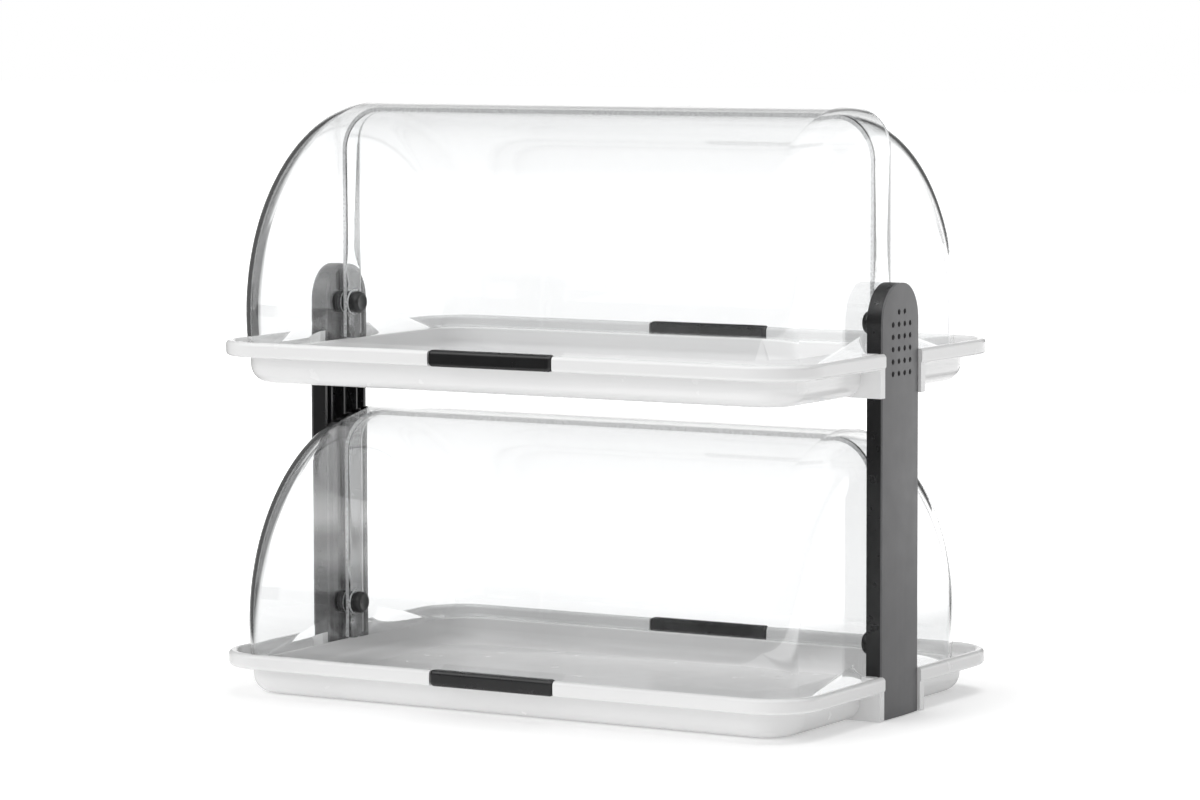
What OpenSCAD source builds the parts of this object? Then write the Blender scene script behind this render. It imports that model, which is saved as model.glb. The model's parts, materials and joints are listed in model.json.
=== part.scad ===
// Two-tier countertop display bin for bread, with roll-top covers at front and rear.
// X runs along the long side, -Y is the front, +Z is up.
// The origin is on the surface it stands on, under the middle of the bin.

/* [Tray] */
// Length of a tray over its rim
tray_l = 440; // [400:1:520]
// Depth of a tray over its rim, front to rear
tray_w = 288; // [270:1:330]
// Height of a tray from its underside to the top of its rim
tray_h = 28; // [25:0.5:36]
// Height of the rolled rim seen from outside
rim_h = 10; // [7:0.5:13]
// Width of the rolled rim seen from above
rim_t = 6; // [5:0.5:7]
// Corner radius of the rim in plan
rim_corner_r = 36; // [28:1:44]
// How far the pan is set in from the rim at each end
pan_inset_x = 15; // [14.5:0.5:17]
// How far the pan is set in from the rim at front and rear
pan_inset_y = 13; // [12.5:0.5:15]
// Corner radius of the pan in plan
pan_corner_r = 27; // [20:1:32]
// Radius of the pan's bottom edge
pan_bottom_r = 12; // [6:0.5:14]
// Wall thickness of the moulded tray
tray_wall = 2.5; // [2:0.1:3]
// Height from one tray to the next
tier_pitch = 205; // [195:1:260]

/* [Upright bracket of the tray] */
// Thickness of the two cheeks that hold an upright
cheek_t = 6; // [4:0.5:8]
// Rounding of a cheek's top outer corner
cheek_r = 6; // [2:0.5:8]
// Radius of the screw bosses on the pan's end wall
boss_r = 4; // [3.5:0.1:4.5]
// Height of the screw bosses above the tray's underside
boss_z = 10; // [8:0.5:12]

/* [Grips] */
// Length of a grip
grip_l = 92; // [70:1:120]
// Depth of a grip, front to rear
grip_w = 8.2; // [7.5:0.1:8.6]
// How far a grip stands proud of the rim
grip_proud = 1; // [0:0.1:2]
// How far the ledge's cut edge lies in from the rim under a grip
grip_seat = 3.5; // [3:0.1:4]
// Height of a grip
grip_h = 10.8; // [10:0.1:13]
// Rounding of a grip's long edges
grip_r = 3; // [2:0.25:3.5]

/* [Uprights] */
// Width of an upright, front to rear
upright_w = 49; // [44:1:60]
// Height of an upright
upright_h = 276.5; // [270:0.5:340]
// Thickness of the ribbed channel of an upright
channel_t = 10; // [9:0.5:12]
// Wall and web thickness of the channel
channel_wall = 2.5; // [2:0.1:3]
// Distance from rib to rib in the channel
rib_pitch = 15; // [14:0.5:17]
// Thickness of a rib
rib_t = 1.6; // [1.2:0.1:2.4]
// Thickness of the face plate at its middle
face_t = 2.2; // [1.8:0.1:3]
// How much the face plate is crowned across its width
face_crown = 0.9; // [0.3:0.1:1.2]

/* [Grille] */
// Distance between grille holes
grille_pitch = 7.8; // [6:0.1:9]
// Diameter of a grille hole
grille_d = 3.6; // [2:0.1:4.5]
// Full rows of holes in the grille
grille_rows = 5; // [3:1:6]
// Height of the grille's top row above the upper pivot
grille_top = 7.8; // [4:0.1:9]

/* [Covers] */
// Height of the pivot above the tray's underside
pivot_z = 45.4; // [42:0.1:50]
// How far the front cover's barrel is in from the outside of the rim
front_inset_y = 7.5; // [7:0.1:9]
// How far the front cover's end walls are in from the outside of the rim
front_inset_x = 16; // [15.5:0.1:17]
// Rounding between the front cover's barrel and its end walls
front_corner_r = 26; // [16:0.5:28]
// Rounding between the rear cover's barrel and its end walls
rear_corner_r = 29; // [24:0.5:36]
// Wall thickness of a cover
cover_t = 2.5; // [2:0.1:3]
// Gap between the barrels of the two covers, one inside the other
nest_gap_r = 2; // [1.2:0.1:3]
// Gap between the end walls of the two covers
nest_gap_x = 0.8; // [0.6:0.1:1.5]
// How far the front cover reaches behind the pivot
front_overlap = 12; // [9.5:0.5:16]
// How far the rear cover reaches ahead of the pivot
rear_overlap = 8; // [5:0.5:12]

/* [Pivots] */
// Diameter of a pivot pin
pin_d = 6; // [5:0.1:7]
// Diameter of a pivot pin's knob
knob_d = 14.6; // [12:0.1:17]
// Thickness of the knob
knob_t = 5.6; // [4:0.1:7]
// Diameter of a cover's clear hub
hub_d = 17; // [15:0.5:18]
// How far a hub stands out of its end wall
hub_t = 1.2; // [0.8:0.1:1.6]
// Diameter of the collar between cover and upright
collar_d = 16; // [14:0.1:18]

/* [Clearances] */
// Radial running clearance of a cover on its pin
run_gap = 0.08; // [0.02:0.01:0.1]
// Gap between a cover's hub and the upright beside it
side_gap = 0.8; // [0.6:0.1:1.5]
// Gap between a resting edge and its seat
seat_gap = 0.3; // [0.2:0.05:0.4]
// Radial clearance of pegs, screws and fixed pins in their holes
peg_gap = 0.05; // [0.02:0.01:0.2]

/* [Screws and pegs] */
// Diameter of a tray screw
screw_d = 3; // [2.5:0.1:3.5]
// Diameter of a tray screw's head
screw_head_d = 5.6; // [5:0.1:7]
// Thickness of a tray screw's head
screw_head_t = 1.3; // [0.9:0.1:1.5]
// Diameter of the snap pegs of grips and face plates
peg_d = 3.2; // [2.5:0.1:4]
// Height of the face plate's lower pegs
peg_low_z = 110; // [80:1:130]
// Height of the face plate's upper pegs
peg_high_z = 180; // [150:1:195]

/* [Hidden] */
$fn = 72;

// The ledge's cut edge under a grip, and the line of the grip's pegs
grip_edge = tray_w / 2 - grip_seat;
grip_peg_y = grip_edge - peg_d / 2 - 0.5;

// Heights above a tray's underside
rim_z = tray_h - rim_h;
ledge_z = rim_z + tray_wall;

// The pan's length and width outside
pan_l = tray_l - 2 * pan_inset_x;
pan_w = tray_w - 2 * pan_inset_y;

// The covers' outer radii about the pivot, and their half lengths over the end
// walls. They follow the tray, and the rear cover fits inside the front one.
front_r = tray_w / 2 - front_inset_y;
front_a = tray_l / 2 - front_inset_x;
rear_r = front_r - cover_t - nest_gap_r;
rear_a = front_a - cover_t - nest_gap_x;

// The upright's planes, measured from the middle of the bin
upright_in = front_a + hub_t + side_gap;
channel_web = upright_in + channel_t - channel_wall;
face_in = upright_in + channel_t;
face_out = face_in + face_t;

// A cover's bottom edge, below the pivot
cover_drop = pivot_z - ledge_z - seat_gap;

// Pivot hardware, measured from the middle of the bin
collar_in = front_a + hub_t + seat_gap;
knob_out = rear_a - cover_t - hub_t - seat_gap;
pin_end = face_in - seat_gap;

// Screw bosses stand midway between two ribs
boss_y = rib_pitch / 2;
boss_out = channel_web;
head_in = face_in - screw_head_t - seat_gap;

colour_tray = [0.95, 0.95, 0.95];
colour_black = [0.09, 0.09, 0.10];
colour_face = [0.25, 0.25, 0.27];
colour_clear = [0.85, 0.90, 0.93, 0.35];
colour_steel = [0.70, 0.71, 0.73];

// A rectangle with round corners, centred
module round_rect(l, w, r) {
    square([l - 2 * r, w], center = true);
    square([l, w - 2 * r], center = true);
    for (sx = [-1, 1], sy = [-1, 1])
        translate([sx * (l / 2 - r), sy * (w / 2 - r)]) circle(r);
}

// Carries a profile round a rectangle with round corners. The profile's x is
// measured outwards from the rectangle's edge, and its y is the height.
module sweep_round(l, w, r) {
    for (i = [0:3])
        rotate([0, 0, 90 * i])
            translate([(i % 2 == 0 ? l : w) / 2 - r, (i % 2 == 0 ? w : l) / 2 - r, 0])
                rotate_extrude(angle = 90) translate([r, 0]) children();
    for (side = [0, 180]) {
        rotate([0, 0, side]) translate([0, w / 2, 0]) rotate([90, 0, 90])
            linear_extrude(l - 2 * r, center = true) children();
        rotate([0, 0, side]) translate([l / 2, 0, 0]) rotate([90, 0, 0])
            linear_extrude(w - 2 * r, center = true) children();
    }
}

// Half of a pan's cross-section: flat bottom, round bottom edge, upright wall
module pan_profile(half, edge_r, h) {
    square([half - edge_r, h]);
    translate([0, edge_r]) square([half, h - edge_r]);
    translate([half - edge_r, edge_r]) circle(edge_r);
}

// A solid pan with upright corners of radius r and a bottom edge of edge_r
module pan_solid(l, w, r, edge_r, h) {
    for (sx = [-1, 1], sy = [-1, 1])
        translate([sx * (l / 2 - r), sy * (w / 2 - r), 0])
            rotate_extrude() pan_profile(r, edge_r, h);
    for (s = [0, 1]) {
        rotate([90, 0, 90]) linear_extrude(l - 2 * r, center = true)
            mirror([s, 0]) pan_profile(w / 2, edge_r, h);
        rotate([90, 0, 0]) linear_extrude(w - 2 * r, center = true)
            mirror([s, 0]) pan_profile(l / 2, edge_r, h);
    }
}

// The rolled rim's section, with the cove where it meets the ledge
module rim_profile() {
    translate([-rim_t / 2, rim_z + rim_h / 2]) round_rect(rim_t, rim_h, rim_t / 2 - 0.4);
    difference() {
        translate([-rim_t - rim_t / 4, rim_z]) square([rim_t / 2 + rim_t / 4, tray_wall + rim_t / 4]);
        translate([-rim_t - rim_t / 4, ledge_z + rim_t / 4]) circle(rim_t / 4);
    }
}

// What the round-over of the pan's mouth takes off the ledge
module mouth_profile() {
    difference() {
        translate([-0.5, ledge_z - tray_wall / 2]) square([0.5 + tray_wall / 2, tray_wall / 2 + 0.5]);
        translate([tray_wall / 2, ledge_z - tray_wall / 2]) circle(tray_wall / 2);
    }
}

// One cheek's outline, seen from the front; x is measured from the bin's middle
module cheek_outline() {
    inner = pan_l / 2 - pan_bottom_r - 1;
    outer = tray_l / 2 - 0.8;
    translate([inner, 0]) square([outer - inner, rim_z]);
    translate([upright_in, 0]) square([outer - upright_in - cheek_r, tray_h]);
    translate([upright_in, 0]) square([outer - upright_in, tray_h - cheek_r]);
    translate([outer - cheek_r, tray_h - cheek_r]) circle(cheek_r);
}

// The bracket at one end: two cheeks beside the upright and two screw bosses
module end_bracket() {
    for (s = [-1, 1]) {
        translate([0, s * (upright_w / 2 + seat_gap + cheek_t / 2), 0]) rotate([90, 0, 0])
            linear_extrude(cheek_t, center = true) cheek_outline();
        translate([pan_l / 2 - tray_wall / 2, s * boss_y, boss_z]) rotate([0, 90, 0])
            cylinder(h = boss_out - pan_l / 2 + tray_wall / 2, r = boss_r);
    }
}

// What is cut at one end: the upright's slot in the rim and the pilot holes
module end_cuts() {
    translate([upright_in - seat_gap, -upright_w / 2 - seat_gap, rim_z - 1])
        cube([tray_l, upright_w + 2 * seat_gap, tray_h]);
    for (s = [-1, 1])
        translate([pan_l / 2 + 0.5, s * boss_y, boss_z]) rotate([0, 90, 0])
            cylinder(h = boss_out - pan_l / 2, d = screw_d + 2 * peg_gap);
}

// Centres of the grips' pegs along X
function grip_pegs() = [-grip_l / 3, grip_l / 3];

// A moulded tray standing on z = 0
module tray() {
    color(colour_tray) difference() {
        union() {
            difference() {
                union() {
                    pan_solid(pan_l, pan_w, pan_corner_r, pan_bottom_r, ledge_z);
                    translate([0, 0, rim_z]) linear_extrude(tray_wall)
                        round_rect(tray_l - rim_t, tray_w - rim_t, rim_corner_r - rim_t / 2);
                    sweep_round(tray_l, tray_w, rim_corner_r) rim_profile();
                    for (side = [0, 180]) rotate([0, 0, side]) end_bracket();
                }
                translate([0, 0, tray_wall])
                    pan_solid(pan_l - 2 * tray_wall, pan_w - 2 * tray_wall,
                              pan_corner_r - tray_wall, pan_bottom_r - tray_wall, tray_h);
                sweep_round(pan_l - 2 * tray_wall, pan_w - 2 * tray_wall,
                            pan_corner_r - tray_wall) mouth_profile();
            }
        }
        for (side = [0, 180]) rotate([0, 0, side]) {
            end_cuts();
            translate([-grip_l / 2 - seat_gap, grip_edge, rim_z - 1])
                cube([grip_l + 2 * seat_gap, rim_t, tray_h]);
            translate([-grip_l / 2 - seat_gap, tray_w / 2 - 1.5 * rim_t, ledge_z])
                cube([grip_l + 2 * seat_gap, 2 * rim_t, tray_h]);
            for (x = grip_pegs())
                translate([x, grip_peg_y, rim_z - 1])
                    cylinder(h = tray_wall + 2, d = peg_d + 2 * peg_gap);
        }
    }
}

// A grip for the rear rim: a rounded bar that sits over the cut edge of the
// ledge and is held by two pegs
module grip() {
    color(colour_black) {
        difference() {
            translate([0, tray_w / 2 + grip_proud - grip_w / 2, rim_z]) grip_bar();
            translate([-grip_l, 0, 0]) cube([2 * grip_l, grip_edge + seat_gap, ledge_z]);
        }
        for (x = grip_pegs())
            translate([x, grip_peg_y, rim_z]) cylinder(h = tray_wall + 1, d = peg_d);
    }
}

// The grip's bar along X, with round long edges and round ends
module grip_bar() {
    r = grip_r;
    w = grip_w;
    translate([0, 0, grip_h / 2]) {
        rotate([90, 0, 90]) linear_extrude(grip_l - 2 * r, center = true) round_rect(w, grip_h, r);
        translate([0, 0, -grip_h / 2 + r]) linear_extrude(grip_h - 2 * r) round_rect(grip_l, w, r);
        rotate([90, 0, 0]) linear_extrude(w - 2 * r, center = true) round_rect(grip_l, grip_h, r);
        for (sx = [-1, 1], sy = [-1, 1], sz = [-1, 1])
            translate([sx * (grip_l / 2 - r), sy * (w / 2 - r), sz * (grip_h / 2 - r)]) sphere(r);
    }
}

// An upright's outline seen from the end, drawn in by a wall of t
module upright_outline(t) {
    r = upright_w / 2;
    translate([-r + t, t]) square([2 * (r - t), upright_h - r - t]);
    translate([0, upright_h - r]) circle(r - t);
}

// Heights of the two pivots
function pivots() = [pivot_z, tier_pitch + pivot_z];

// The channel of the right upright: open towards the bin, with ribs
module upright() {
    color(colour_black) difference() {
        union() {
            translate([upright_in, 0, 0]) rotate([90, 0, 90]) difference() {
                linear_extrude(channel_t) upright_outline(0);
                translate([0, 0, -1]) linear_extrude(channel_t - channel_wall + 1)
                    upright_outline(channel_wall);
            }
            intersection() {
                translate([upright_in, 0, 0]) rotate([90, 0, 90])
                    linear_extrude(channel_t) upright_outline(channel_wall / 2);
                for (i = [-1, 0, 1])
                    translate([upright_in + 1, i * rib_pitch - rib_t / 2, 0])
                        cube([channel_t - 2, rib_t, upright_h]);
            }
        }
        for (z = pivots()) translate([0, 0, z]) rotate([0, 90, 0]) {
            cylinder(h = face_in + 1, d = pin_d + 2 * peg_gap);
            cylinder(h = channel_web, d = collar_d + 2 * seat_gap);
        }
        for (z = [0, tier_pitch], s = [-1, 1])
            translate([0, s * boss_y, z + boss_z]) rotate([0, 90, 0]) {
                cylinder(h = face_in + 1, d = screw_d + 4 * peg_gap);
                translate([0, 0, head_in]) cylinder(h = channel_t, d = screw_head_d + 4 * peg_gap);
            }
        for (z = [peg_low_z, peg_high_z], s = [-1, 1])
            translate([0, s * boss_y, z]) rotate([0, 90, 0])
                cylinder(h = face_in + 1, d = peg_d + 2 * peg_gap);
    }
}

// Places of the grille's holes on the face plate, as [y, z]
function grille_places() = concat(
    [for (i = [-0.5, 0.5]) [i * grille_pitch, 0]],
    [for (row = [1:grille_rows], i = [-1.5:1:1.5]) [i * grille_pitch, -row * grille_pitch]]
);

// The right face plate: crowned across its width, drilled with the grille,
// and held to the channel by four pegs
module face_plate() {
    half = upright_w / 2;
    crown_r = (half * half + face_crown * face_crown) / (2 * face_crown);
    color(colour_face) {
        difference() {
            intersection() {
                translate([face_in, 0, 0]) rotate([90, 0, 90]) linear_extrude(face_t) upright_outline(0);
                translate([face_out - crown_r, 0, -1]) cylinder(h = upright_h + 2, r = crown_r, $fn = 360);
            }
            translate([0, 0, tier_pitch + pivot_z + grille_top])
                for (p = grille_places())
                    translate([face_in - 1, p[0], p[1]]) rotate([0, 90, 0])
                        cylinder(h = face_t + 2, d = grille_d, $fn = 24);
        }
        for (z = [peg_low_z, peg_high_z], s = [-1, 1])
            translate([face_in - channel_wall, s * boss_y, z]) rotate([0, 90, 0])
                cylinder(h = channel_wall + face_t / 4, d = peg_d);
    }
}

// A closed barrel about the X axis, half length a, with round end corners
module barrel(r, a, corner) {
    rotate([0, 90, 0]) rotate_extrude($fn = 180) {
        translate([0, -a]) square([r - corner, 2 * a]);
        translate([0, corner - a]) square([r, 2 * (a - corner)]);
        for (s = [-1, 1]) translate([r - corner, s * (a - corner)]) circle(corner);
    }
}

// The side view of the front cover about the pivot: a level bottom edge, an
// upright rear edge, and between them an arc that stays clear as it turns
module cover_outline(r, overlap) {
    reach = r + 5;
    intersection() {
        translate([-reach, -cover_drop]) square([reach + overlap, cover_drop + reach]);
        union() {
            translate([-reach, -reach]) square([reach, 2 * reach]);
            translate([-1, 0]) square([reach, reach]);
            circle(cover_drop, $fn = 180);
        }
    }
}

// A cover shut to the front, about a pivot at the origin. The hubs stand out
// of the end walls, outwards or inwards.
module cover(r, a, corner, overlap, outward) {
    hub_x = outward ? a - cover_t / 2 : a - cover_t - hub_t;
    color(colour_clear) difference() {
        union() {
            difference() {
                intersection() {
                    barrel(r, a, corner);
                    rotate([90, 0, 90]) linear_extrude(2 * a + 2, center = true)
                        cover_outline(r, overlap);
                }
                barrel(r - cover_t, a - cover_t, corner - cover_t);
            }
            for (side = [0, 180]) rotate([0, 0, side]) translate([hub_x, 0, 0]) rotate([0, 90, 0])
                cylinder(h = hub_t + cover_t / 2, d = hub_d);
        }
        rotate([0, 90, 0])
            cylinder(h = 3 * a, d = pin_d + 2 * run_gap, center = true);
    }
}

module front_cover() {
    translate([0, 0, pivot_z]) cover(front_r, front_a, front_corner_r, front_overlap, true);
}

module rear_cover() {
    translate([0, 0, pivot_z]) mirror([0, 1, 0])
        cover(rear_r, rear_a, rear_corner_r, rear_overlap, false);
}

// The right pivot pin: a domed knob inside the bin and a shank to the upright
module pivot() {
    round_r = knob_t * 0.45;
    color(colour_black) translate([0, 0, pivot_z]) rotate([0, 90, 0]) rotate_extrude() {
        translate([0, knob_out - knob_t]) square([knob_d / 2 - round_r, knob_t]);
        translate([0, knob_out - knob_t + round_r]) square([knob_d / 2, knob_t - round_r]);
        translate([knob_d / 2 - round_r, knob_out - knob_t + round_r]) circle(round_r);
        translate([0, knob_out - 1]) square([pin_d / 2, pin_end - knob_out + 1]);
    }
}

// The right collar: a spacer round the pin, from the channel's web to the hub
module collar() {
    color(colour_black) translate([collar_in, 0, pivot_z]) rotate([0, 90, 0]) difference() {
        cylinder(h = channel_web - collar_in, d = collar_d);
        translate([0, 0, -1]) cylinder(h = channel_t + 9, d = pin_d + 2 * run_gap);
    }
}

// The two screws at the right end of one tray
module end_screws() {
    for (s = [-1, 1]) translate([0, s * boss_y, boss_z]) rotate([0, 90, 0]) {
        translate([0, 0, head_in]) cylinder(h = screw_head_t, d = screw_head_d);
        translate([0, 0, pan_l / 2 + 1]) cylinder(h = head_in - pan_l / 2, d = screw_d);
    }
}

module left() {
    mirror([1, 0, 0]) children();
}

module front() {
    mirror([0, 1, 0]) children();
}

module up() {
    translate([0, 0, tier_pitch]) children();
}

module tray_screws() {
    color(colour_steel) for (z = [0, tier_pitch], side = [0, 180])
        translate([0, 0, z]) rotate([0, 0, side]) end_screws();
}

tray();  // lower_tray
up() tray();  // upper_tray
front() grip();  // lower_front_grip
grip();  // lower_rear_grip
up() front() grip();  // upper_front_grip
up() grip();  // upper_rear_grip
left() upright();  // left_upright
upright();  // right_upright
left() face_plate();  // left_face_plate
face_plate();  // right_face_plate
front_cover();  // lower_front_cover
rear_cover();  // lower_rear_cover
up() front_cover();  // upper_front_cover
up() rear_cover();  // upper_rear_cover
left() pivot();  // lower_left_pivot
pivot();  // lower_right_pivot
up() left() pivot();  // upper_left_pivot
up() pivot();  // upper_right_pivot
left() collar();  // lower_left_collar
collar();  // lower_right_collar
up() left() collar();  // upper_left_collar
up() collar();  // upper_right_collar
tray_screws();
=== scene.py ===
"""Dresses the two-tier bread display bin: clear covers, white trays, black uprights."""
import json
import math

import bpy
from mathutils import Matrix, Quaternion, Vector


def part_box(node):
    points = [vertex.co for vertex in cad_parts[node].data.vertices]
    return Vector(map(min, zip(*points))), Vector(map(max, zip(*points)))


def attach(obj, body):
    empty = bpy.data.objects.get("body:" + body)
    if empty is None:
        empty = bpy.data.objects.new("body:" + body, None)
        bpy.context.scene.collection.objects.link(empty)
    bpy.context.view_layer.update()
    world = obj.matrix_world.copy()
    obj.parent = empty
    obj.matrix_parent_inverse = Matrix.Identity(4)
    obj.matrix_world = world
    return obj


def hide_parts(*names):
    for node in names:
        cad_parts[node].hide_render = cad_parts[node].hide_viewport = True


bl_info = {
    "name": "Bread display bin",
    "version": (1, 0, 0),
    "blender": (4, 5, 0),
    "location": "3D View > Sidebar > Bread bin",
    "description": "Finishes the bread display bin and sets its stage",
    "category": "Object",
}

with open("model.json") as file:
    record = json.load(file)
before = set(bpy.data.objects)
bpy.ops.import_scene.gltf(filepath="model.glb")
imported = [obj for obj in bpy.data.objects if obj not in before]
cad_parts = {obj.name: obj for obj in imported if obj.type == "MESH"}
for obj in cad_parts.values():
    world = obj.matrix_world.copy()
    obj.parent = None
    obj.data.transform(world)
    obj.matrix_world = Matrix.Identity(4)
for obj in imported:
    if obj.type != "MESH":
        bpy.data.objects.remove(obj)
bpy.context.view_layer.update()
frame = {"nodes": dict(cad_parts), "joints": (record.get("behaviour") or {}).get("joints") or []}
NODES = frame["nodes"]

TIERS = ("lower", "upper")
SIDES = ("front", "rear")
ENDS = {"left": -1.0, "right": 1.0}

# Small fixed sizes, in metres
CHAMFER = 0.0005         # a shank's end and a knob's rear edge
DISH_DEPTH = 0.0005      # the hollow in a knob's face
DISH_LIP = 0.0001        # how far the hollow's rim lies behind the face
SHANK_GAP = 0.00002      # between a knob's back and its shank
HOLD = 0.0004            # support loops beside a fillet, which keep its shading to itself
HUB_ROUNDING = 0.00035   # the rims of a hub ring
HUB_HEIGHT = 0.0012      # how far a hub ring stands out of its end wall
HUB_GAP = 0.00004        # between a hub ring and its end wall
FRONT_HUB_TRIM = 0.00005  # keeps a front hub inside its CAD node
CUT_BAND = 0.0006        # a face this near to a cut belongs to the cut edge
SAME_POINT = 0.000001    # points this near are merged
FLOOR_DROP = 0.0004      # how far the floor lies under the bin

# Shares of a radius
DISH_FLOOR = 0.45        # flat middle of a knob's hollow
DISH_RIM = 0.62          # where the hollow ends
KNOB_CORE = 0.5          # where a knob's back face ends, inside the shank
PAST_ROUNDING = 1.0001   # a little more than the radius, for centres that lie on it
HUB_INNER = 1.5          # of the bore: where a hub's whitened rim, a painted highlight, starts
HUB_OUTER = 1.01         # of the hub: where it ends

# Parts of a normal's length, for telling which way a face looks
FACING = 0.3
ALONG_AXIS = 0.9

# Steps round a full turn, and along a fillet
KNOB_STEPS = 64
KNOB_EDGE_STEPS = 9
RING_STEPS = 48
FILLET_STEPS = 16

# The bright field, in parts of a heading's length. Each pair is where a ramp
# starts and ends, to the right of the view, away from the camera or upwards.
WALL_AWAY = (0.0, 0.4)
WINDOW_AWAY = (0.0, 0.45)
WALL_TOP = (0.34, 0.20)
ABOVE_WALL = 0.28        # share of its white that the wall keeps above its top
RIGHT_REACH = 1.3        # the wall reaches this much further at the right
BANK_UP = (0.25, 0.6)
BANK_AWAY = (0.3, -0.15)
WORLD_WALL, WORLD_WINDOW = (0.12, 0.24), (0.5, 0.7)
FLOOR_WALL, FLOOR_WINDOW = (0.085, 0.12), (0.15, 0.2)
FILL_LEFT, FILL_RIGHT = 1.25, 0.35  # shares of the fill level

# The floor, in metres round the bin
FLOOR_SIZE = 30.0
FOOTPRINT = (0.20, 0.13, 0.0)
SHADOW_REACH, SHADOW_FLOOR = 0.36, 0.22  # where it turns plain white, and how white it starts
FIELD_REACH = 0.25       # from here on gloss and clear plastic see the bright field in full
FRONT_FLOOR, FRONT_WHITE = (-0.3, -0.8), 0.55  # white that covers show from other sides

LAMP_AIM = (0.0, 0.0, 0.2)
LAMP_SIZE = 1.6


def pivot_height(tier):
    """Height of a tier's pivot axis, from the frame's own hinge."""
    joint = next(j for j in frame["joints"] if j["name"] == tier + "_front_hinge")
    return joint["pos_m"][2]


def length(name, description, default):
    """A size property in metres."""
    return bpy.props.FloatProperty(name=name, description=description, default=default,
                                   min=0.0, subtype="DISTANCE", unit="LENGTH", precision=4)


def angle(name, description, degrees):
    """An angle property, written here in degrees."""
    return bpy.props.FloatProperty(name=name, description=description,
                                   default=math.radians(degrees), subtype="ANGLE", unit="ROTATION")


def colour(name, description, default):
    """A colour property in linear light."""
    return bpy.props.FloatVectorProperty(name=name, description=description, default=default,
                                         size=3, min=0.0, max=1.0, subtype="COLOR")


def number(name, description, default, high=1.0):
    """A plain number with a floor of nought."""
    return bpy.props.FloatProperty(name=name, description=description, default=default,
                                   min=0.0, max=high)


class CoverSizes(bpy.types.PropertyGroup):
    """Sizes of the clear covers that the frame's boxes don't give."""
    wall: length("Wall", "Wall thickness of a cover", 0.0025)
    front_corner: length("Front corner", "Rounding of the front cover's end corners", 0.026)
    rear_corner: length("Rear corner", "Rounding of the rear cover's end corners", 0.029)
    edge: length("Edge rounding", "Rounding of a cover's cut edges", 0.0005)
    hub_radius: length("Hub radius", "Outer radius of a cover's clear hub", 0.0085)
    bore: length("Bore radius", "Radius of the hole for the pivot pin", 0.00308)
    steps: bpy.props.IntProperty(name="Steps", description="Faces round a full turn of a cover",
                                 default=144, min=48, max=288)


class PivotSizes(bpy.types.PropertyGroup):
    """Sizes of the pivot pins and their knobs."""
    knob_radius: length("Knob radius", "Outer radius of a knob", 0.0073)
    knob_depth: length("Knob depth", "Thickness of a knob", 0.0056)
    knob_edge: length("Knob edge", "Rounding of a knob's front edge", 0.0022)
    pin_radius: length("Pin radius", "Radius of the steel shank", 0.003)


class Finishes(bpy.types.PropertyGroup):
    """Colours and surface numbers of the bin's materials."""
    tray: colour("Tray", "Colour of the moulded trays", (0.87, 0.87, 0.87))
    tray_roughness: number("Tray roughness", "How matt the trays are", 0.24)
    black: colour("Black plastic", "Colour of uprights, grips and knobs", (0.011, 0.011, 0.0115))
    black_roughness: number("Black roughness", "How matt the black plastic is", 0.30)
    face: colour("Face plate", "Colour of the outer face plates", (0.125, 0.125, 0.128))
    face_roughness: number("Face roughness", "How matt the face plates are", 0.42)
    clear: colour("Clear plastic", "Tint of the covers", (0.985, 0.99, 0.992))
    clear_ior: number("Clear index", "Refractive index of the covers", 1.57, 2.0)
    # also the hub rims, where this white is a painted highlight
    edge: colour("Cut edges", "Colour of the covers' satin edges", (0.88, 0.89, 0.90))
    steel: colour("Screw steel", "Colour of the tray screws", (0.60, 0.60, 0.62))


class StageSettings(bpy.types.PropertyGroup):
    """Camera, lamps and floor."""
    azimuth: angle("Azimuth", "Camera's turn to the right of the front", 30.886)
    elevation: angle("Elevation", "Camera's height above level", 5.162)
    roll: angle("Roll", "Camera's lean", -0.144)
    distance: length("Distance", "Camera's distance from what it looks at", 3.0407)
    lens: number("Lens", "Focal length in millimetres on a 36 mm sensor", 138.67, 400.0)
    aim_x: bpy.props.FloatProperty(name="Aim X", description="Point the camera looks at, along X",
                                   default=-0.0044, unit="LENGTH")
    aim_z: length("Aim Z", "Point the camera looks at, above the floor", 0.1922)
    key_power: number("Key power", "Watts of the big lamp at the front left", 15.0, 500.0)
    top_power: number("Top power", "Watts of the lamp overhead", 26.0, 500.0)
    fill_level: number("Fill level", "Even light from all round", 0.66, 2.0)
    bank_level: number("Bank level", "White of the lamp bank overhead", 2.4, 5.0)
    bounce_level: number("Bounce level", "Light that the floor throws up at the bin", 0.30, 2.0)
    back_level: number("Back level", "White that gloss and clear plastic see behind the bin",
                       1.2, 2.0)
    window_level: number("Window level", "White of the window that the end walls mirror", 1.6, 4.0)
    dark_level: number("Dark level", "Dark that they see to the left and in front", 0.10, 2.0)


# Mesh helpers

def start_clean():
    """Leaves nothing selected, in object mode."""
    if bpy.context.object and bpy.context.object.mode != "OBJECT":
        bpy.ops.object.mode_set(mode="OBJECT")
    bpy.ops.object.select_all(action="DESELECT")


def pick(obj):
    """Selects one object alone and makes it the active one."""
    start_clean()
    obj.select_set(True)
    bpy.context.view_layer.objects.active = obj


def current(name):
    """Names the active object and its mesh, and returns it."""
    obj = bpy.context.object
    obj.name = name
    obj.data.name = name
    return obj


def settle(obj):
    """Writes the object's place, turn and scale into its mesh."""
    pick(obj)
    bpy.ops.object.transform_apply(location=True, rotation=True, scale=True)


def finish_with(obj, kind, **settings):
    """Adds a modifier, sets it and applies it."""
    pick(obj)
    modifier = obj.modifiers.new(kind.title(), kind)
    for key, value in settings.items():
        setattr(modifier, key, value)
    bpy.ops.object.modifier_apply(modifier=modifier.name)


def smooth(obj, degrees=35.0):
    """Smooth shading, with edges over the angle kept sharp."""
    pick(obj)
    bpy.ops.object.shade_smooth_by_angle(angle=math.radians(degrees))


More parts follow.
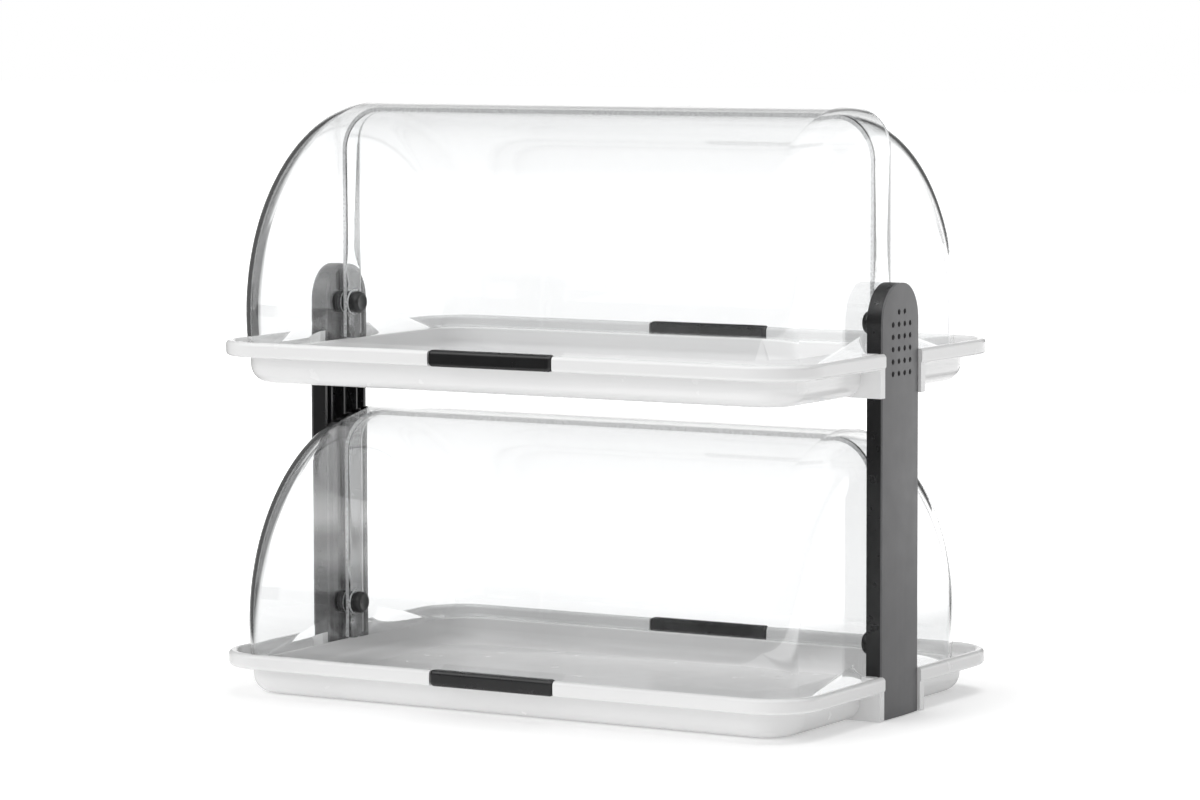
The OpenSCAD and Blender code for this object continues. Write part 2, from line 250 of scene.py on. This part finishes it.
def lathe(name, points, height, steps, closed):
    """Turns a line of (x, radius) points about a level axis along X. The line
    is drawn by extruding one vertex from point to point, then spun."""
    start_clean()
    x, radius = points[0]
    bpy.ops.mesh.primitive_plane_add(size=0.001, location=(0.0, 0.0, 0.0))
    obj = current(name)
    bpy.ops.object.mode_set(mode="EDIT")
    bpy.ops.mesh.merge(type="CENTER")
    bpy.ops.transform.translate(value=(x, radius, height))
    route = points[1:] + (points[:1] if closed else [])
    for nx, nr in route:
        bpy.ops.mesh.extrude_vertices_move(
            TRANSFORM_OT_translate={"value": (nx - x, nr - radius, 0.0)})
        x, radius = nx, nr
    bpy.ops.mesh.select_all(action="SELECT")
    bpy.ops.mesh.remove_doubles(threshold=SAME_POINT)
    bpy.ops.mesh.spin(steps=steps, angle=2 * math.pi, center=(0.0, 0.0, height),
                      axis=(1.0, 0.0, 0.0))
    bpy.ops.mesh.select_all(action="SELECT")
    bpy.ops.mesh.remove_doubles(threshold=SAME_POINT)
    bpy.ops.mesh.normals_make_consistent(inside=False)
    bpy.ops.object.mode_set(mode="OBJECT")
    return obj


def arc(cx, cy, radius, start, end, count):
    """Points on an arc, from the start angle to the end angle in degrees."""
    turns = [math.radians(start + (end - start) * i / count) for i in range(count + 1)]
    return [(cx + radius * math.cos(t), cy + radius * math.sin(t)) for t in turns]


def delete_faces(obj, unwanted):
    """Deletes the faces whose centre the test picks."""
    pick(obj)
    bpy.ops.object.mode_set(mode="EDIT")
    bpy.ops.mesh.select_mode(type="FACE")
    bpy.ops.mesh.select_all(action="DESELECT")
    bpy.ops.object.mode_set(mode="OBJECT")
    for face in obj.data.polygons:
        face.select = unwanted(face.center)
    bpy.ops.object.mode_set(mode="EDIT")
    bpy.ops.mesh.delete(type="FACE")
    bpy.ops.mesh.select_mode(type="VERT")
    bpy.ops.object.mode_set(mode="OBJECT")


def trim(obj, point, normal):
    """Cuts off what lies on the side of the plane that its normal points to."""
    pick(obj)
    bpy.ops.object.mode_set(mode="EDIT")
    bpy.ops.mesh.select_all(action="SELECT")
    bpy.ops.mesh.bisect(plane_co=point, plane_no=normal, clear_outer=True)
    bpy.ops.object.mode_set(mode="OBJECT")


def join(first, others):
    """Joins the others into the first."""
    pick(first)
    for obj in others:
        obj.select_set(True)
    bpy.ops.object.join()
    return first


def dress(obj, material):
    """Gives an object one material and nothing else."""
    obj.data.materials.clear()
    obj.data.materials.append(material)


def dress_node(name, finish):
    """Gives a CAD node one of the bin's finishes."""
    dress(NODES[name], finish_named(finish))


# Shader nodes

def noise(tree, scale, detail, roughness=0.5, stretch=(1.0, 1.0, 1.0)):
    """Noise on the piece's own coordinates, in features per metre."""
    place = tree.nodes.new("ShaderNodeTexCoord")
    mapping = tree.nodes.new("ShaderNodeMapping")
    mapping.inputs["Scale"].default_value = stretch
    texture = tree.nodes.new("ShaderNodeTexNoise")
    texture.inputs["Scale"].default_value = scale
    texture.inputs["Detail"].default_value = detail
    texture.inputs["Roughness"].default_value = roughness
    tree.links.new(place.outputs["Object"], mapping.inputs["Vector"])
    tree.links.new(mapping.outputs["Vector"], texture.inputs["Vector"])
    return texture.outputs["Fac"]


def map_range(tree, source, start, end, low, high, kind="LINEAR"):
    """Maps start and end to low and high, and holds them beyond."""
    node = tree.nodes.new("ShaderNodeMapRange")
    node.interpolation_type = kind
    node.inputs["From Min"].default_value = start
    node.inputs["From Max"].default_value = end
    node.inputs["To Min"].default_value = low
    node.inputs["To Max"].default_value = high
    tree.links.new(source, node.inputs["Value"])
    return node.outputs["Result"]


def spread(tree, source, low, high):
    """Maps the middle of a noise texture's range to low and high."""
    return map_range(tree, source, 0.3, 0.7, low, high)


def ramp(tree, source, start, end, low=0.0, high=1.0):
    """Goes smoothly from low to high as the source goes from start to end."""
    return map_range(tree, source, start, end, low, high, "SMOOTHSTEP")


def tinted(tree, source, low, high):
    """Mixes two colours by a texture."""
    node = tree.nodes.new("ShaderNodeMix")
    node.data_type = "RGBA"
    node.inputs["A"].default_value = (*low, 1.0)
    node.inputs["B"].default_value = (*high, 1.0)
    tree.links.new(spread(tree, source, 0.0, 1.0), node.inputs["Factor"])
    return node.outputs["Result"]


def bumped(tree, shader, source, height, strength):
    """Lifts the surface by a texture, to a height in metres."""
    node = tree.nodes.new("ShaderNodeBump")
    node.inputs["Strength"].default_value = strength
    node.inputs["Distance"].default_value = height
    tree.links.new(source, node.inputs["Height"])
    tree.links.new(node.outputs["Normal"], shader.inputs["Normal"])


def combine(tree, operation, first, second):
    """A Math node on two values, each a number or a socket."""
    node = tree.nodes.new("ShaderNodeMath")
    node.operation = operation
    for socket, value in zip(node.inputs, (first, second)):
        if isinstance(value, float):
            socket.default_value = value
        else:
            tree.links.new(value, socket)
    return node.outputs["Value"]


def vector_step(tree, operation, source, fixed=None, result="Vector"):
    """A Vector Math node on a vector and, where one is given, a fixed second."""
    node = tree.nodes.new("ShaderNodeVectorMath")
    node.operation = operation
    tree.links.new(source, node.inputs[0])
    if fixed is not None:
        node.inputs[1].default_value = fixed
    return node.outputs[result]


def towards(tree, heading, direction):
    """How far a heading points along a direction."""
    return vector_step(tree, "DOT_PRODUCT", heading, direction, "Value")


# Materials

def new_material(name):
    """A finish of that name, its tree, and the shader on its output."""
    material = bpy.data.materials.new(name + "_finish")
    material.use_nodes = True
    tree = material.node_tree
    tree.nodes.clear()
    output = tree.nodes.new("ShaderNodeOutputMaterial")
    shader = tree.nodes.new("ShaderNodeBsdfPrincipled")
    tree.links.new(shader.outputs["BSDF"], output.inputs["Surface"])
    return material, tree, shader


def scaled(rgb, factor):
    """A colour made lighter or darker."""
    return tuple(min(1.0, c * factor) for c in rgb)


def tray_material(look):
    """White moulded plastic: a soft gloss with a little flow shade."""
    material, tree, shader = new_material("tray_white")
    flow = noise(tree, 9.0, 3.0, stretch=(0.4, 1.0, 1.0))
    tree.links.new(tinted(tree, flow, scaled(look.tray, 0.985), look.tray),
                   shader.inputs["Base Color"])
    tree.links.new(spread(tree, noise(tree, 60.0, 4.0), look.tray_roughness * 0.85,
                          look.tray_roughness * 1.15), shader.inputs["Roughness"])
    shader.inputs["IOR"].default_value = 1.5
    shader.inputs["Coat Weight"].default_value = 0.35
    shader.inputs["Coat Roughness"].default_value = 0.12
    return material


def black_material(look):
    """Black moulded plastic with a fine spark-eroded grain."""
    material, tree, shader = new_material("black_plastic")
    patch = noise(tree, 45.0, 4.0)
    tree.links.new(tinted(tree, patch, look.black, scaled(look.black, 1.5)),
                   shader.inputs["Base Color"])
    tree.links.new(spread(tree, noise(tree, 130.0, 5.0), look.black_roughness * 0.85,
                          look.black_roughness * 1.2), shader.inputs["Roughness"])
    shader.inputs["IOR"].default_value = 1.5
    bumped(tree, shader, noise(tree, 1900.0, 2.0, 0.6), 0.00008, 0.35)
    return material


def face_material(look):
    """Dark grey face plate: satin, with a grain drawn along its height."""
    material, tree, shader = new_material("face_grey")
    drawn = noise(tree, 260.0, 4.0, stretch=(1.0, 1.0, 0.06))
    tree.links.new(tinted(tree, drawn, scaled(look.face, 0.98), scaled(look.face, 1.02)),
                   shader.inputs["Base Color"])
    tree.links.new(spread(tree, noise(tree, 90.0, 4.0), look.face_roughness * 0.9,
                          look.face_roughness * 1.1), shader.inputs["Roughness"])
    shader.inputs["IOR"].default_value = 1.5
    bumped(tree, shader, noise(tree, 1500.0, 3.0, 0.6), 0.00006, 0.3)
    return material


def clear_material(look):
    """Clear polycarbonate: smooth, with a slight waviness from the mould."""
    material, tree, shader = new_material("clear_cover")
    shader.inputs["Base Color"].default_value = (*look.clear, 1.0)
    shader.inputs["Transmission Weight"].default_value = 1.0
    shader.inputs["IOR"].default_value = look.clear_ior
    tree.links.new(spread(tree, noise(tree, 35.0, 3.0), 0.0, 0.02), shader.inputs["Roughness"])
    bumped(tree, shader, noise(tree, 14.0, 1.0), 0.0006, 0.08)
    return material


def edge_and_glint_material(look):
    """The covers' cut edges in a light satin, and the hub rims whitened as a painted highlight."""
    material, tree, shader = new_material("clear_edge_and_glint")
    worn = noise(tree, 900.0, 3.0)
    tree.links.new(tinted(tree, worn, scaled(look.edge, 0.92), look.edge),
                   shader.inputs["Base Color"])
    shader.inputs["Transmission Weight"].default_value = 0.25
    shader.inputs["IOR"].default_value = look.clear_ior
    tree.links.new(spread(tree, worn, 0.2, 0.35), shader.inputs["Roughness"])
    bumped(tree, shader, worn, 0.00004, 0.2)
    return material


def steel_material(look):
    """Zinc plated steel with a turned grain."""
    material, tree, shader = new_material("screw_steel")
    shader.inputs["Metallic"].default_value = 1.0
    turned = noise(tree, 2200.0, 2.0, stretch=(1.0, 0.2, 0.2))
    tree.links.new(tinted(tree, turned, scaled(look.steel, 0.9), look.steel),
                   shader.inputs["Base Color"])
    tree.links.new(spread(tree, turned, 0.28, 0.4), shader.inputs["Roughness"])
    bumped(tree, shader, turned, 0.00003, 0.3)
    return material


MAKERS = {
    "tray_white": tray_material,
    "black_plastic": black_material,
    "face_grey": face_material,
    "clear_cover": clear_material,
    "clear_edge_and_glint": edge_and_glint_material,
    "screw_steel": steel_material,
}


def finish_named(name):
    """The finish of that name, made once."""
    found = bpy.data.materials.get(name + "_finish")
    return found or MAKERS[name](bpy.context.scene.bin_finishes)


# Pivots

def pivot_pin(name, side, inner, outer, height):
    """A pivot: a black knob with a dished face and a round edge, on a steel
    shank with a chamfered end."""
    sizes = bpy.context.scene.bin_pivots
    knob, edge, pin = sizes.knob_radius, sizes.knob_edge, sizes.pin_radius
    x0, x1 = inner, inner + sizes.knob_depth
    dish = [(x0 + DISH_DEPTH, 0.0), (x0 + DISH_DEPTH, knob * DISH_FLOOR),
            (x0 + DISH_LIP, knob * DISH_RIM)]
    front = arc(x0 + edge, knob - edge, edge, 180.0, 90.0, KNOB_EDGE_STEPS)
    back = [(x1 - CHAMFER, knob), (x1, knob - CHAMFER), (x1, pin * KNOB_CORE)]
    head = lathe(name, [(x * side, r) for x, r in dish + front + back], height, KNOB_STEPS, True)
    dress(head, finish_named("black_plastic"))
    x2 = x1 + SHANK_GAP
    line = [(x2, 0.0), (x2, pin), (outer - CHAMFER, pin), (outer, pin - CHAMFER), (outer, 0.0)]
    shank = lathe(name + "_shank", [(x * side, r) for x, r in line], height, RING_STEPS, True)
    dress(shank, finish_named("screw_steel"))
    obj = join(head, [shank])
    settle(obj)
    smooth(obj, 30.0)
    return obj


# Covers

def cover_skin(name, half, radius, corner, drop, reach, height, ahead):
    """The outer face of a cover as one sheet: an end wall, a barrel and the
    other end wall, cut level at the bottom and upright past the pivot. Ahead
    is the way along Y in which it is cut upright."""
    sizes = bpy.context.scene.bin_covers
    fillet = arc(half - corner, radius - corner, corner, 0.0, 90.0, FILLET_STEPS)
    right = [(half, sizes.bore), (half, sizes.hub_radius), (half, drop),
             (half, radius - corner - HOLD)] + fillet + [(half - corner - HOLD, radius)]
    left = [(-x, r) for x, r in reversed(right)]
    obj = lathe(name, right + left, height, sizes.steps, False)
    delete_faces(obj, lambda c: c.y * ahead > 0 and c.z < height
                 and math.hypot(c.y, c.z - height) > drop * PAST_ROUNDING)
    trim(obj, (0.0, 0.0, height - drop), (0.0, 0.0, -1.0))
    trim(obj, (0.0, reach * ahead, 0.0), (0.0, ahead, 0.0))
    return obj


def face_outwards(obj):
    """Turns the sheet's normals away from the pivot axis."""
    top = max(obj.data.polygons, key=lambda f: f.center.z)
    if top.normal.z < 0:
        pick(obj)
        bpy.ops.object.mode_set(mode="EDIT")
        bpy.ops.mesh.select_all(action="SELECT")
        bpy.ops.mesh.flip_normals()
        bpy.ops.object.mode_set(mode="OBJECT")


def cover_hub(name, x_in, x_out, height):
    """A hub ring with rounded rims, standing on a cover's end wall."""
    sizes = bpy.context.scene.bin_covers
    shoulder = x_out - math.copysign(HUB_ROUNDING, x_out - x_in)
    ring = [(x_in, sizes.bore), (x_in, sizes.hub_radius), (shoulder, sizes.hub_radius),
            (x_out, sizes.hub_radius - HUB_ROUNDING), (x_out, sizes.bore + HUB_ROUNDING),
            (shoulder, sizes.bore)]
    return lathe(name, ring, height, RING_STEPS, True)


def mark_edges_and_glints(obj, bottom, back, height):
    """Gives the second material to the level bottom edge, the upright edge and the rims of
    the hubs; on the hub rims its white is a painted highlight."""
    sizes = bpy.context.scene.bin_covers
    inner, outer = sizes.bore * HUB_INNER, sizes.hub_radius * HUB_OUTER
    for face in obj.data.polygons:
        c, n = face.center, face.normal
        level = abs(c.z - bottom) < CUT_BAND and n.z < -FACING
        upright = abs(c.y - back) < CUT_BAND and n.y * back > FACING * abs(back)
        # the hub rims take the white edge material as a painted highlight
        on_hub = inner < math.hypot(c.y, c.z - height) < outer and abs(n.x) < ALONG_AXIS
        face.material_index = 1 if level or upright or on_hub else 0


def clear_cover(node, tier, side):
    """One cover with its hubs, in the place of its CAD node."""
    sizes = bpy.context.scene.bin_covers
    rear = side == "rear"
    height = pivot_height(tier)
    low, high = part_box(node)
    half = high.x - (0.0 if rear else HUB_HEIGHT)
    reach = -low.y if rear else high.y
    ahead = -1.0 if rear else 1.0
    corner = sizes.rear_corner if rear else sizes.front_corner
    obj = cover_skin(f"{tier}_{side}_clear_cover", half, high.z - height, corner,
                     height - low.z, reach, height, ahead)
    face_outwards(obj)
    finish_with(obj, "SOLIDIFY", thickness=sizes.wall, offset=-1.0,
                use_even_offset=True, use_quality_normals=True)
    finish_with(obj, "BEVEL", width=sizes.edge, segments=2, limit_method="ANGLE",
                angle_limit=math.radians(50.0))
    if rear:
        seat = half - sizes.wall - HUB_GAP
        rim = seat - HUB_HEIGHT
    else:
        seat = half + HUB_GAP
        rim = seat + (HUB_HEIGHT - FRONT_HUB_TRIM)
    rings = [cover_hub(obj.name + "_hub", seat, rim, height),
             cover_hub(obj.name + "_hub", -seat, -rim, height)]
    obj = join(obj, rings)
    settle(obj)
    smooth(obj)
    dress(obj, finish_named("clear_cover"))
    # second slot: satin cut edges, and on the hub rims a painted highlight
    obj.data.materials.append(finish_named("clear_edge_and_glint"))
    mark_edges_and_glints(obj, low.z, reach * ahead, height)
    obj.visible_shadow = False
    obj.visible_diffuse = False
    return obj


# Light and stage

def view_axes(settings):
    """To the right of the camera's view, and away from the camera, both level."""
    a = settings.azimuth
    return (math.cos(a), math.sin(a), 0.0), (-math.sin(a), math.cos(a), 0.0)


def camera_aim(settings):
    """The point that the camera looks at."""
    return Vector((settings.aim_x, 0.0, settings.aim_z))


def camera_place(settings):
    """Where the camera stands."""
    a, e = settings.azimuth, settings.elevation
    back = Vector((math.sin(a) * math.cos(e), -math.cos(a) * math.cos(e), math.sin(e)))
    return camera_aim(settings) + back * settings.distance


def bright_field(tree, heading, settings, wall_edge, window_edge):
    """What gloss and clear plastic see: a white wall behind the bin that stops
    short at both sides and turns grey above, so that clear edges draw dark, a
    bright window at the right for the end walls, and a lamp bank overhead in
    front. The two edges are where the wall ends and the window starts."""
    to_right, to_back = view_axes(settings)
    right = towards(tree, heading, to_right)
    away = towards(tree, heading, to_back)
    up = towards(tree, heading, (0.0, 0.0, 1.0))
    ends, clears = wall_edge
    sides = combine(tree, "MULTIPLY", ramp(tree, right, -clears, -ends),
                    ramp(tree, right, clears * RIGHT_REACH, ends * RIGHT_REACH))
    wall = combine(tree, "MULTIPLY", sides, ramp(tree, away, *WALL_AWAY, 0.0, settings.back_level))
    window = combine(tree, "MULTIPLY", ramp(tree, right, *window_edge),
                     ramp(tree, away, *WINDOW_AWAY, 0.0, settings.window_level))
    behind = combine(tree, "MULTIPLY", combine(tree, "MAXIMUM", wall, window),
                     ramp(tree, up, *WALL_TOP, ABOVE_WALL, 1.0))
    bank = combine(tree, "MULTIPLY", ramp(tree, up, *BANK_UP, 0.0, settings.bank_level),
                   ramp(tree, away, *BANK_AWAY))
    white = combine(tree, "MAXIMUM", behind, bank)
    return combine(tree, "MAXIMUM", white, settings.dark_level)


def world_light(settings):
    """White to the camera, a fill on the bin that is weaker from the right, and
    the bright field to gloss and clear plastic."""
    world = bpy.data.worlds.new("studio")
    bpy.context.scene.world = world
    world.use_nodes = True
    world.cycles.sampling_method = "NONE"
    tree = world.node_tree
    tree.nodes.clear()
    heading = tree.nodes.new("ShaderNodeTexCoord").outputs["Generated"]
    path = tree.nodes.new("ShaderNodeLightPath")
    lit = tree.nodes.new("ShaderNodeMix")
    tree.links.new(path.outputs["Diffuse Depth"], lit.inputs["Factor"])
    tree.links.new(bright_field(tree, heading, settings, WORLD_WALL, WORLD_WINDOW), lit.inputs["A"])
    right = towards(tree, heading, view_axes(settings)[0])
    tree.links.new(ramp(tree, right, -1.0, 1.0, FILL_LEFT * settings.fill_level,
                        FILL_RIGHT * settings.fill_level), lit.inputs["B"])
    shown = tree.nodes.new("ShaderNodeMix")
    tree.links.new(path.outputs["Is Camera Ray"], shown.inputs["Factor"])
    tree.links.new(lit.outputs["Result"], shown.inputs["A"])
    shown.inputs["B"].default_value = 1.0
    glow = tree.nodes.new("ShaderNodeBackground")
    glow.inputs["Color"].default_value = (1.0, 1.0, 1.0, 1.0)
    tree.links.new(shown.outputs["Result"], glow.inputs["Strength"])
    output = tree.nodes.new("ShaderNodeOutputWorld")
    tree.links.new(glow.outputs["Background"], output.inputs["Surface"])


def off_the_bin(tree, place):
    """Distance of a point on the floor from the bin's footprint."""
    offset = vector_step(tree, "ABSOLUTE", place)
    offset = vector_step(tree, "SUBTRACT", offset, FOOTPRINT)
    offset = vector_step(tree, "MAXIMUM", offset, (0.0, 0.0, 0.0))
    return vector_step(tree, "LENGTH", offset, result="Value")


def floor_paint(tree, path, distance, settings):
    """Pale paint that keeps the shadow near the bin, glows to plain white for
    the camera further off, and throws some light up at the bin."""
    paint = tree.nodes.new("ShaderNodeBsdfDiffuse")
    paint.inputs["Color"].default_value = (0.92, 0.92, 0.92, 1.0)
    glow = tree.nodes.new("ShaderNodeEmission")
    shown = combine(tree, "MULTIPLY", path.outputs["Is Camera Ray"],
                    ramp(tree, distance, 0.0, SHADOW_REACH, SHADOW_FLOOR, 1.0))
    bounce = combine(tree, "MULTIPLY", path.outputs["Is Diffuse Ray"], settings.bounce_level)
    tree.links.new(combine(tree, "MAXIMUM", shown, bounce), glow.inputs["Strength"])
    plain = tree.nodes.new("ShaderNodeAddShader")
    tree.links.new(paint.outputs["BSDF"], plain.inputs[0])
    tree.links.new(glow.outputs["Emission"], plain.inputs[1])
    return plain.outputs["Shader"]


def floor_field(tree, path, place, settings):
    """The bright field as the floor shows it, along the line from the camera,
    and white in front of the bin for what is seen through the covers."""
    from_camera = vector_step(tree, "SUBTRACT", place, camera_place(settings))
    heading = vector_step(tree, "NORMALIZE", from_camera)
    depth = towards(tree, place, view_axes(settings)[1])
    in_front = combine(tree, "MULTIPLY", ramp(tree, depth, *FRONT_FLOOR, 0.0, FRONT_WHITE),
                       path.outputs["Is Transmission Ray"])
    behind = bright_field(tree, heading, settings, FLOOR_WALL, FLOOR_WINDOW)
    field = tree.nodes.new("ShaderNodeEmission")
    tree.links.new(combine(tree, "MAXIMUM", behind, in_front), field.inputs["Strength"])
    return field.outputs["Emission"]


def floor_material(settings):
    """The floor: paint near the bin and to the camera, and further off the
    bright field to gloss and clear plastic."""
    material = bpy.data.materials.new("floor")
    material.use_nodes = True
    tree = material.node_tree
    tree.nodes.clear()
    place = tree.nodes.new("ShaderNodeTexCoord").outputs["Object"]
    path = tree.nodes.new("ShaderNodeLightPath")
    distance = off_the_bin(tree, place)
    gloss = combine(tree, "MAXIMUM", path.outputs["Is Transmission Ray"],
                    path.outputs["Is Glossy Ray"])
    direct = combine(tree, "LESS_THAN", path.outputs["Diffuse Depth"], 0.5)
    gloss = combine(tree, "MULTIPLY", gloss, direct)
    choose = tree.nodes.new("ShaderNodeMixShader")
    tree.links.new(combine(tree, "MULTIPLY", gloss, ramp(tree, distance, 0.0, FIELD_REACH)),
                   choose.inputs["Fac"])
    tree.links.new(floor_paint(tree, path, distance, settings), choose.inputs[1])
    tree.links.new(floor_field(tree, path, place, settings), choose.inputs[2])
    output = tree.nodes.new("ShaderNodeOutputMaterial")
    tree.links.new(choose.outputs["Shader"], output.inputs["Surface"])
    return material


def add_lamp(name, place, power):
    """A square soft lamp that looks at the bin and isn't mirrored in it."""
    data = bpy.data.lights.new(name, "AREA")
    data.shape = "SQUARE"
    data.size = LAMP_SIZE
    data.energy = power
    lamp = bpy.data.objects.new(name, data)
    bpy.context.scene.collection.objects.link(lamp)
    lamp.visible_glossy = False
    lamp.visible_transmission = False
    lamp.location = place
    lamp.rotation_euler = (Vector(LAMP_AIM) - Vector(place)).to_track_quat("-Z", "Y").to_euler()


def add_camera(settings):
    """The camera at the photograph's angle."""
    data = bpy.data.cameras.new("camera")
    data.sensor_width = 36.0
    data.lens = settings.lens
    data.clip_start = 0.1
    data.clip_end = 100.0
    camera = bpy.data.objects.new("camera", data)
    bpy.context.scene.collection.objects.link(camera)
    bpy.context.scene.camera = camera
    camera.location = camera_place(settings)
    back = (camera.location - camera_aim(settings)).normalized()
    camera.rotation_mode = "QUATERNION"
    aim = (-back).to_track_quat("-Z", "Y")
    aim.rotate(Quaternion(back, settings.roll))
    camera.rotation_quaternion = aim


# Operators, one for each piece or group of like pieces, and one for the stage

class DressTrays(bpy.types.Operator):
    """Gives both trays their white plastic"""
    bl_idname = "breadbin.trays"
    bl_label = "Trays"

    def execute(self, context):
        """Dresses the two trays."""
        for tier in TIERS:
            dress_node(f"{tier}_tray", "tray_white")
        return {"FINISHED"}


class DressUprights(bpy.types.Operator):
    """Gives the ribbed uprights and their face plates their plastics"""
    bl_idname = "breadbin.uprights"
    bl_label = "Uprights"

    def execute(self, context):
        """Dresses the uprights and face plates at both ends."""
        for end in ENDS:
            dress_node(f"{end}_upright", "black_plastic")
            dress_node(f"{end}_face_plate", "face_grey")
        return {"FINISHED"}


class DressGrips(bpy.types.Operator):
    """Gives the four grips their black plastic"""
    bl_idname = "breadbin.grips"
    bl_label = "Grips"

    def execute(self, context):
        """Dresses the grips of both tiers."""
        for tier in TIERS:
            for side in SIDES:
                dress_node(f"{tier}_{side}_grip", "black_plastic")
        return {"FINISHED"}


class MakePivots(bpy.types.Operator):
    """Makes the four pivots and finishes their collars and the tray screws"""
    bl_idname = "breadbin.pivots"
    bl_label = "Pivots, collars and screws"

    def execute(self, context):
        """Makes each pivot in its node's place and dresses what goes with it."""
        for tier in TIERS:
            for end, side in ENDS.items():
                node = f"{tier}_{end}_pivot"
                low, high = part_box(node)
                inner, outer = sorted((abs(low.x), abs(high.x)))
                obj = pivot_pin(f"{tier}_{end}_knob", side, inner, outer, pivot_height(tier))
                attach(obj, "frame")
                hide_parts(node)
                dress_node(f"{tier}_{end}_collar", "black_plastic")
        dress_node("tray_screws", "screw_steel")
        return {"FINISHED"}


class MakeCovers(bpy.types.Operator):
    """Makes the four clear covers with their hubs"""
    bl_idname = "breadbin.covers"
    bl_label = "Covers"

    def execute(self, context):
        """Makes each cover and lets it ride on its own body."""
        for tier in TIERS:
            for side in SIDES:
                node = f"{tier}_{side}_cover"
                obj = clear_cover(node, tier, side)
                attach(obj, f"{tier}_{side}")
                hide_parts(node)
        return {"FINISHED"}


class SetStage(bpy.types.Operator):
    """Sets the camera, the lamps and the floor"""
    bl_idname = "breadbin.stage"
    bl_label = "Stage"

    def execute(self, context):
        """Lays the floor and sets the world, both lamps and the camera."""
        settings = context.scene.bin_stage
        context.scene.view_settings.view_transform = "Standard"
        start_clean()
        bpy.ops.mesh.primitive_plane_add(size=FLOOR_SIZE, location=(0.0, 0.0, -FLOOR_DROP))
        floor = current("floor")
        settle(floor)
        floor.data.materials.append(floor_material(settings))
        world_light(settings)
        add_lamp("key_lamp", (-1.3, -2.4, 1.5), settings.key_power)
        add_lamp("top_lamp", (0.2, 0.3, 2.4), settings.top_power)
        add_camera(settings)
        return {"FINISHED"}


class BinPanel(bpy.types.Panel):
    """Lists the bin's operators"""
    bl_idname = "VIEW3D_PT_breadbin"
    bl_label = "Bread bin"
    bl_space_type = "VIEW_3D"
    bl_region_type = "UI"
    bl_category = "Bread bin"

    def draw(self, context):
        """A button for each operator."""
        for step in STEPS:
            self.layout.operator(step.bl_idname)


STEPS = (DressTrays, DressUprights, DressGrips, MakePivots, MakeCovers, SetStage)
CLASSES = (CoverSizes, PivotSizes, Finishes, StageSettings) + STEPS + (BinPanel,)


def register():
    """Registers the classes and puts the settings on the scene."""
    for cls in CLASSES:
        bpy.utils.register_class(cls)
    bpy.types.Scene.bin_covers = bpy.props.PointerProperty(type=CoverSizes)
    bpy.types.Scene.bin_pivots = bpy.props.PointerProperty(type=PivotSizes)
    bpy.types.Scene.bin_finishes = bpy.props.PointerProperty(type=Finishes)
    bpy.types.Scene.bin_stage = bpy.props.PointerProperty(type=StageSettings)


def unregister():
    """Takes the settings off the scene and unregisters the classes."""
    del bpy.types.Scene.bin_stage
    del bpy.types.Scene.bin_finishes
    del bpy.types.Scene.bin_pivots
    del bpy.types.Scene.bin_covers
    for cls in reversed(CLASSES):
        bpy.utils.unregister_class(cls)


def main():
    """Builds the whole scene."""
    register()
    bpy.ops.breadbin.stage()
    bpy.ops.breadbin.trays()
    bpy.ops.breadbin.uprights()
    bpy.ops.breadbin.grips()
    bpy.ops.breadbin.pivots()
    bpy.ops.breadbin.covers()


if __name__ == "__main__":
    main()
